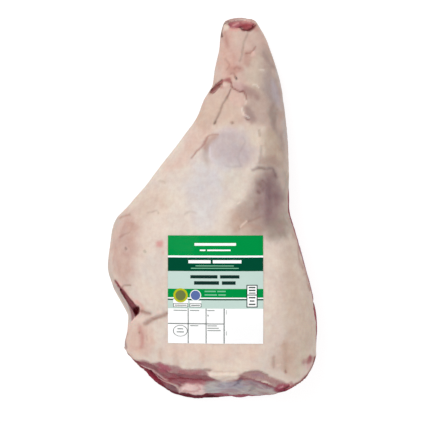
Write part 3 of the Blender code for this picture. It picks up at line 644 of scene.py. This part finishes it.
# The rounded rim above that end, in pixels of the photograph
collarMarks = {
    'collarRose': area(1.3, '#A25560', 0.75, (228.6, 23.6), (235, 22), (240, 23.4), (240.6, 27.8), (230, 28.2),
        wet=0.6),
    'collarTop': stroke(2.4, '#B48A86', 0.65, (227, 22), (230, 20), (236, 18.8), (244, 18.4), (250, 19.2),
        (254, 21.4)),
    'collarThread': stroke(2.4, '#E0A5A2', 0.7, (233.4, 24.6), (238, 23.4)),
    'collarRed': area(1.2, '#A05055', 0.8, (239, 22.4), (247, 21.8), (252, 22.8), (254.8, 25.6), (252.6, 29.4),
        (247, 30.6), (241.4, 29.6), wet=0.6),
    'collarGlow': stroke(2.4, '#DDA39E', 0.65, (242.8, 22.4), (246.6, 21.6), (249.4, 22.4)),
    # painted shade along the lower edge of the sawn end
    'collarShade': stroke(1.7, '#431519', 0.85, (240, 27.4), (243.6, 29.2), (248, 30), (252, 28),
        (253.4, 25.6)),
}


def curved(line, steps=5):              # a smooth line through the same points
    corners = np.array(line, dtype=float)
    if len(corners) < 3:
        return corners
    padded = np.vstack([2 * corners[0] - corners[1], corners, 2 * corners[-1] - corners[-2]])
    places = []
    for i in range(1, len(padded) - 2):
        before, start, end, after = padded[i - 1:i + 3]
        for t in np.linspace(0.0, 1.0, steps, endpoint=False):
            bend = (2 * before - 5 * start + 4 * end - after) * t
            bend = bend + (3 * start - before - 3 * end + after) * t * t
            places.append(start + 0.5 * t * (end - before + bend))
    return np.array(places + [corners[-1]])


def distanceToLine(places, line):
    nearest = np.full(len(places), np.inf)
    for start, end in zip(line[:-1], line[1:]):
        run = end - start
        share = np.clip((places - start) @ run / max(run @ run, 1e-9), 0.0, 1.0)
        nearest = np.minimum(nearest, np.linalg.norm(places - start - share[:, None] * run, axis=1))
    return nearest


def insideOutline(places, outline):
    inside = np.zeros(len(places), dtype=bool)
    for (startX, startY), (endX, endY) in zip(outline[:-1], outline[1:]):
        if startY == endY:
            continue
        crosses = (startY > places[:, 1]) != (endY > places[:, 1])
        share = (places[:, 1] - startY) * (endX - startX) / (endY - startY)
        inside ^= crosses & (places[:, 0] < startX + share)
    return inside


def coverOf(mark, places):              # how far each place is covered by the mark, 0 to 1
    isArea = 'area' in mark
    line = curved(mark['area'] + mark['area'][:1]) if isArea else curved(mark['line'])
    reach = 2 * mark['soft'] if isArea else 2 * mark['width']
    near = np.all((places > line.min(axis=0) - reach) & (places < line.max(axis=0) + reach), axis=1)
    cover = np.zeros(len(places))
    gap = distanceToLine(places[near], line)
    if isArea:
        gap = np.where(insideOutline(places[near], line), -gap, gap)
        cover[near] = 1 - softStep(gap, -mark['soft'], mark['soft'])
    else:
        cover[near] = np.exp(-(gap / (0.62 * mark['width'])) ** 2)
    return cover


def layColour(coat, colour, amount):
    coat['tone'] += np.clip(amount, 0.0, 1.0)[:, None] * (np.array(linear(colour)) - coat['tone'])


def layMarks(coat, group, places, where, waver, patches):
    wavering = places + waver * coat['fine']
    unrest = 1 + patches * coat['patchy']
    for mark in group.values():
        amount = coverOf(mark, wavering) * where
        coat['lift'] += amount * mark.get('lift', 0.0) * mm
        coat['wet'] += amount * (mark.get('wet', coat['wet']) - coat['wet'])
        if 'colour' in mark:
            layColour(coat, mark['colour'], amount * mark['strength'] * unrest)


def makeMeat():
    selectOnly(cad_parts['leg'])
    bpy.ops.object.duplicate()
    piece = bpy.context.object
    piece.name = 'legMeat'
    bpy.ops.object.mode_set(mode='EDIT')
    bpy.ops.mesh.select_all(action='SELECT')
    bpy.ops.mesh.remove_doubles(threshold=0.01 * mm)
    bpy.ops.object.mode_set(mode='OBJECT')
    solid = BVHTree.FromPolygons([v.co.copy() for v in piece.data.vertices],
                                 [list(f.vertices) for f in piece.data.polygons])
    applyModifier(piece, 'REMESH', mode='VOXEL', voxel_size=meat['voxel'], use_smooth_shade=True)
    applyModifier(piece, 'SMOOTH', factor=0.5, iterations=meat['smoothing'])
    print('the meat has', len(piece.data.vertices), 'points')
    return piece, solid


def sculptMeat(piece, solid):
    points = vectorsOf(piece, 'co')
    normals = vectorsOf(piece, 'normal')
    length, height, facing = points[:, 1], points[:, 2], normals[:, 2]
    turned = np.array([solid.find_nearest(Vector(p))[1][1] for p in points])
    across = np.stack([points[:, 0], height], axis=1) / mm
    withinEnd = np.linalg.norm((across - meat['endMiddle']) / meat['endReach'], axis=1) < 1.0
    onCut = (turned < meat['cutFacing']) & (length < meat['cutBefore'])
    onEnd = ((turned > meat['endFacing']) | withinEnd) & (length > meat['endBeyond'])
    onSkin = ~onCut & ~onEnd

    coarse = np.stack([noiseAt(points, 17 * mm, seed) for seed in (3, 4)], axis=1)
    seen = seenAt(points)
    coat = {
        'tone': np.tile(linear(meat['plain']), (len(points), 1)),
        'wet': np.zeros(len(points)),
        'lift': np.zeros(len(points)),
        'fine': np.stack([noiseAt(points, 4.5 * mm, seed) + 0.4 * noiseAt(points, 2 * mm, seed)
                          for seed in (1, 2)], axis=1),
        'patchy': noiseAt(points, 8 * mm, 5),
    }
    upOrSide = softStep(facing, -0.5, 0.1) * ~onCut
    facingUp = softStep(facing, 0.02, 0.25) * onSkin
    aboveEdge = softStep(height, 22 * mm, 34 * mm) * ~onCut
    onRim = softStep(height, 44 * mm, 52 * mm) * (length < meat['cutBefore'])
    onCollar = softStep(length, 166 * mm, 172 * mm) * softStep(facing, -0.15, 0.05)

    layMarks(coat, fields, seen + 5.0 * coarse, upOrSide, waver=1.5, patches=0.35)
    layMarks(coat, wallMarks, seen, aboveEdge, waver=0.4, patches=0.2)
    layMarks(coat, marks, seen, facingUp, waver=0.7, patches=0.3)
    layLean(coat, points, onSkin)
    layMarks(coat, edgeMarks, seen, aboveEdge, waver=0.5, patches=0.3)
    layFace(coat, points, onCut, across)
    layMarks(coat, rimMarks, seen, onRim, waver=0.6, patches=0.2)
    layFlesh(coat, points, onEnd * 0.9, 1.0)
    layMarks(coat, endMarks, across, onEnd * 1.0, waver=1.1, patches=0.3)
    layMarks(coat, collarMarks, seen, onCollar, waver=0.6, patches=0.3)

    for size, rise in meat['lumps']:
        coat['lift'] += rise * noiseAt(points, size, 6)
    notUnder = softStep(height, 1 * mm, 7 * mm)
    moved = points + normals * (coat['lift'] * notUnder)[:, None]
    moved[:, 2] = np.maximum(moved[:, 2], 0.0)
    movePoints(piece, moved)
    keepColour(piece, 'tone', coat['tone'])
    keepMask(piece, 'wet', coat['wet'])


def layFlesh(coat, points, cover, stretch):     # bare muscle: bundles, silver skin, threads of fat and seams
    drawn = points * np.array([1.0, stretch, 1.0])
    bundles = noiseAt(drawn, 7 * mm, 11)
    film = softStep(noiseAt(drawn, 15 * mm, 12), 0.05, 0.45)
    threads = 1 - softStep(np.abs(noiseAt(drawn, 13 * mm, 13)), 0.0, 0.06)
    seams = 1 - softStep(np.abs(noiseAt(drawn, 24 * mm, 14)), 0.0, 0.045)
    layColour(coat, flesh['lean'], cover)
    layColour(coat, flesh['bundles'], cover * 0.7 * bundles)
    layColour(coat, flesh['clefts'], cover * -0.7 * bundles)
    layColour(coat, flesh['film'], cover * 0.55 * film)
    layColour(coat, flesh['threads'], cover * 0.6 * threads * (0.4 + 0.6 * film))
    layColour(coat, flesh['seams'], cover * 0.5 * seams)
    relief = meat['bundles'] * noiseAt(drawn, 12 * mm, 15) - 0.8 * mm * seams + 0.3 * mm * threads
    coat['lift'] += cover * relief
    coat['wet'] += cover * (0.95 - coat['wet'])


def layLean(coat, points, onSkin):      # the lean that shows below the skin, and the cut edge of the fat
    length = points[:, 1] / mm
    middle, left, right = [np.interp(length, along['at'], along[name]) * mm
                           for name in ('middle', 'leanLeft', 'leanRight')]
    rightward = softStep(points[:, 0] - middle, -22 * mm, 22 * mm)
    ragged = 3.6 * mm * noiseAt(points, 26 * mm, 7) + 1.8 * mm * noiseAt(points, 8 * mm, 8)
    edge = left + (right - left) * rightward + ragged + 0.7 * mm * noiseAt(points, 3 * mm, 9)
    below = edge - points[:, 2]
    cover = softStep(below, -0.9 * mm, 0.9 * mm) * onSkin
    layFlesh(coat, points, cover, 0.22)
    lip = np.exp(-((below + 1.2 * mm) / (1.5 * mm)) ** 2) * onSkin * softStep(points[:, 2], 4 * mm, 8 * mm)
    layColour(coat, fatEdge, lip * 0.65 * (1 - 0.75 * rightward))
    coat['lift'] += meat['edgeLip'] * lip - 0.4 * mm * cover * softStep(points[:, 2], 3 * mm, 9 * mm)


def layFace(coat, points, onCut, across):       # the chump cut, with the ring of fat that shows above it
    layFlesh(coat, points, onCut * 1.0, 1.0)
    layMarks(coat, faceMarks, across, onCut * 1.0, waver=2.2, patches=0.25)
    right = points[:, 0]
    where = np.maximum(softStep(points[:, 2], 40 * mm, 52 * mm), softStep(-right, 62 * mm, 70 * mm))
    where = where * (1 - softStep(right, 18 * mm, 26 * mm) * softStep(-right, -92 * mm, -86 * mm))
    width = meat['fatRim'] * (1 + 0.45 * noiseAt(points, 14 * mm, 16))
    rim = onCut * where * (1 - softStep(gapToRim(points, onCut), 0.6 * width, width))
    layColour(coat, fatRing, 0.85 * rim)
    coat['lift'] += 0.7 * mm * rim
    coat['wet'] -= 0.6 * rim * coat['wet']


def gapToRim(points, onCut):            # how far each point of the cut lies from the nearest point off it
    outside = points[(~onCut) & (points[:, 1] < -0.08)]
    tree = KDTree(len(outside))
    for i, place in enumerate(outside):
        tree.insert(place, i)
    tree.balance()
    gap = np.zeros(len(points))
    for i in np.flatnonzero(onCut):
        gap[i] = tree.find(points[i])[2]
    return gap


def paintMeat(piece):
    start, shader = newMaterial(piece, 'lambMeat')
    place = start.node('TexCoord', {}, {}, 'Object')
    tone = start.node('Attribute', {'attribute_name': 'tone'}, {}, 'Color')
    wet = start.node('Attribute', {'attribute_name': 'wet'}, {}, 'Fac')
    blotch = place.noise(19 * mm, 3.0, 0.6)
    mottle = place.noise(6 * mm, 4.0, 0.65)
    fine = place.noise(1.5 * mm, 3.0, 0.6)
    fibre = place.stretched((1.0, 0.18, 1.0)).noise(2.4 * mm, 3.0, 0.6)
    grain = place.stretched((1.0, 0.3, 1.0)).noise(1.2 * mm, 3.0, 0.6)
    plain = (1.0, 1.0, 1.0, 1.0)
    warm = start.mix(blotch.step(0.34, 0.66), (1.01, 1.015, 1.0, 1.0), (0.955, 0.945, 0.955, 1.0))
    cloudy = start.mix(mottle.step(0.30, 0.70), (0.955, 0.925, 0.925, 1.0), (1.02, 1.04, 1.05, 1.0))
    streaky = start.mix(fibre.step(0.35, 0.65), (0.99, 0.98, 0.98, 1.0), (1.01, 1.01, 1.01, 1.0))
    dark = start.mix(wet * grain.step(0.45, 0.70), plain, (0.80, 0.66, 0.68, 1.0))
    speck = start.mix(wet * (1 - grain).step(0.56, 0.74), plain, (1.12, 1.20, 1.18, 1.0))
    colour = tone.tinted(warm).tinted(cloudy).tinted(streaky).tinted(dark).tinted(speck)
    height = fine * 0.14 + mottle * 0.6 + fibre * 0.1 + wet * grain * 0.8
    start.fill(shader, {
        'Base Color': colour,
        'Roughness': 0.50 - wet * 0.20 + (mottle - 0.5) * 0.2,
        'Coat Weight': 0.03 + wet * 0.04,
        'Coat Roughness': 0.2,
        'Specular IOR Level': 0.0,      # the coat alone shines, as more would grey the cut from above
        'Subsurface Weight': 0.10,
        'Subsurface Scale': 3 * mm,
        'Normal': start.node('Bump', {}, {'Height': height, 'Strength': 0.4, 'Distance': 0.7 * mm}),
    })


legMeat, legSolid = makeMeat()
sculptMeat(legMeat, legSolid)
paintMeat(legMeat)
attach(legMeat, 'root')
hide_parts('leg')
print('the meat is shaped and painted')


# The label

label = {
    'cells': (92, 104),
    'clearance': 0.45 * mm,
    'thickness': 0.18 * mm,
    'smoothing': 12,
}

# The print: boxes in millimetres from the label's top left corner, laid over each other in this order
inks = {
    'green': '#008F43',
    'darkGreen': '#004A32',
    'pale': '#C3D8D0',
    'white': '#FFFFFF',
    'soft': '#7CBF9B',
    'grey': '#7D8581',
    'faint': '#B4BAB7',
    'line': '#3B4743',
    'black': '#14302A',
}
printBoxes = [                          # ink, left, top, right, bottom
    ('green', 0, 0, 92, 19.4),
    ('darkGreen', 0, 21.2, 92, 34.4),
    ('pale', 0, 34.4, 92, 70.4),
    ('green', 0, 51.4, 92, 59.8),
    ('white', 0, 59.8, 92, 61.0),
    ('darkGreen', 0, 61.0, 92, 62.4),
    ('white', 25.8, 7.4, 65.8, 9.9),
    ('white', 31.0, 13.6, 36.4, 15.0),
    ('white', 38.0, 13.6, 60.6, 15.0),
    ('white', 19.9, 23.8, 41.4, 26.8),
    ('white', 43.4, 23.8, 71.0, 26.8),
    ('soft', 26.8, 28.9, 63.7, 29.7),
    ('soft', 22.3, 31.2, 68.4, 32.0),
    ('black', 21.8, 38.2, 48.0, 41.4),
    ('black', 50.4, 38.2, 69.1, 41.4),
    ('black', 25.4, 44.0, 49.4, 47.4),
    ('black', 52.2, 44.0, 65.4, 47.4),
    ('soft', 35.6, 53.2, 46.4, 54.4),
    ('soft', 47.8, 53.2, 55.8, 54.4),
    ('soft', 35.6, 56.6, 47.4, 57.8),
    ('soft', 48.8, 56.6, 55.8, 57.8),
    ('black', 75.8, 47.4, 86.5, 69.2),
    ('white', 76.7, 48.3, 85.6, 56.8),
    ('white', 76.7, 57.7, 85.6, 68.3),
    ('line', 78.0, 49.4, 84.4, 50.7),
    ('line', 78.0, 52.1, 84.4, 53.4),
    ('grey', 78.0, 54.8, 84.4, 56.0),
    ('line', 78.0, 59.1, 84.4, 60.4),
    ('line', 79.0, 62.3, 83.4, 63.6),
    ('line', 78.0, 65.5, 84.4, 66.8),
    ('white', 5.3, 61.6, 19.6, 65.8),
    ('line', 5.2, 65.4, 19.7, 69.2),
    ('white', 5.8, 65.9, 19.1, 68.7),
    ('white', 21.2, 62.8, 32.4, 65.8),
    ('line', 21.1, 65.4, 32.5, 69.2),
    ('white', 21.7, 65.9, 31.9, 68.7),
    ('line', 6.8, 66.9, 18.2, 67.7),
    ('line', 22.6, 66.9, 31.0, 67.7),
    ('line', 19.3, 70.4, 20.1, 104.2),
    ('line', 36.6, 70.4, 37.4, 104.2),
    ('black', 53.9, 70.4, 54.8, 104.2),
    ('line', 0, 84.8, 54.3, 85.6),
    ('grey', 5.6, 71.9, 18.6, 72.7),
    ('grey', 21.4, 71.9, 30.4, 72.7),
    ('grey', 38.2, 71.9, 45.2, 72.7),
    ('grey', 38.4, 76.3, 39.4, 78.0),
    ('grey', 21.6, 86.7, 29.5, 87.5),
    ('grey', 38.2, 86.7, 47.5, 87.5),
    ('grey', 38.2, 89.0, 49.2, 89.8),
    ('grey', 38.2, 91.3, 51.0, 92.1),
    ('faint', 56.2, 71.8, 56.9, 76.0),
    ('faint', 56.2, 92.3, 56.9, 96.4),
    ('grey', 9.4, 89.8, 14.8, 90.8),
    ('grey', 8.6, 92.8, 15.6, 93.8),
]
printRings = [                          # colour, middle, radius (each across and down), share left open
    ('#B9BC1C', 12.4, 57.8, 6.9, 6.9, 0.0),
    ('#6F7A45', 12.4, 57.8, 5.0, 5.0, 0.0),
    ('#F2F3F2', 26.8, 57.7, 5.4, 5.4, 0.0),
    ('#5B6FA6', 26.8, 57.7, 4.6, 4.6, 0.0),
    ('#4A534F', 12.1, 92.2, 7.1, 5.5, 0.91),
]


def makeLabel():
    middle = (labelLow + labelHigh) / 2
    size = labelHigh - labelLow
    columns, rows = label['cells']
    bpy.ops.mesh.primitive_grid_add(x_subdivisions=columns, y_subdivisions=rows, size=1.0,
                                    location=(middle.x, middle.y, labelHigh.z + 10 * mm))
    piece = bpy.context.object
    piece.name = 'labelSheet'
    piece.scale = (size.x, size.y, 1.0)
    bpy.ops.object.transform_apply(location=True, rotation=True, scale=True)
    applyModifier(piece, 'SHRINKWRAP', target=legMeat, wrap_method='PROJECT', use_project_z=True,
                  use_negative_direction=True, use_positive_direction=False, offset=label['clearance'])
    applyModifier(piece, 'SMOOTH', factor=0.5, iterations=label['smoothing'], use_x=False, use_y=False)
    liftClear(piece)
    applyModifier(piece, 'SOLIDIFY', thickness=label['thickness'], offset=1.0)
    bpy.ops.object.shade_smooth_by_angle(angle=math.radians(40))
    return piece


def liftClear(piece):                   # the smoothed sheet is raised where the meat would show through
    graph = bpy.context.evaluated_depsgraph_get()
    skin = BVHTree.FromObject(legMeat, graph)
    points = vectorsOf(piece, 'co')
    for point in points:
        hit = skin.ray_cast(Vector((point[0], point[1], 0.2)), Vector((0.0, 0.0, -1.0)))[0]
        point[2] = max(point[2], hit.z + 0.5 * label['clearance'])
    movePoints(piece, points)


def paintLabel(piece):
    start, shader = newMaterial(piece, 'printedPaper')
    width = (labelHigh.x - labelLow.x) / mm
    length = (labelHigh.y - labelLow.y) / mm
    spread = start.node('TexCoord', {}, {}, 'UV')
    across = start.node('SeparateXYZ', {}, {'Vector': spread}, 'X') * width
    down = (1 - start.node('SeparateXYZ', {}, {'Vector': spread}, 'Y')) * length
    colour = linear(inks['white'])
    for ink, left, top, right, bottom in printBoxes:
        box = (across > left) * (across < right) * (down > top) * (down < bottom)
        colour = start.mix(box, colour, linear(inks[ink]))
    for ink, x, y, radiusX, radiusY, inner in printRings:
        offX = (across - x) * (1 / radiusX)
        offY = (down - y) * (1 / radiusY)
        gap = offX * offX + offY * offY
        colour = start.mix((gap < 1.0) * (gap > inner * inner - 0.001), colour, linear(ink))
    fibre = start.node('TexCoord', {}, {}, 'Object').noise(0.8 * mm, 3.0)
    start.fill(shader, {
        'Base Color': colour,
        'Roughness': 0.60 + fibre * 0.10,
        'Specular IOR Level': 0.0,
        'Coat Weight': 0.03,
        'Normal': start.node('Bump', {}, {'Height': fibre, 'Strength': 0.12, 'Distance': 0.05 * mm}),
    })


labelSheet = makeLabel()
paintLabel(labelSheet)
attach(labelSheet, 'root')
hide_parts('label')
print('the label is laid and printed')
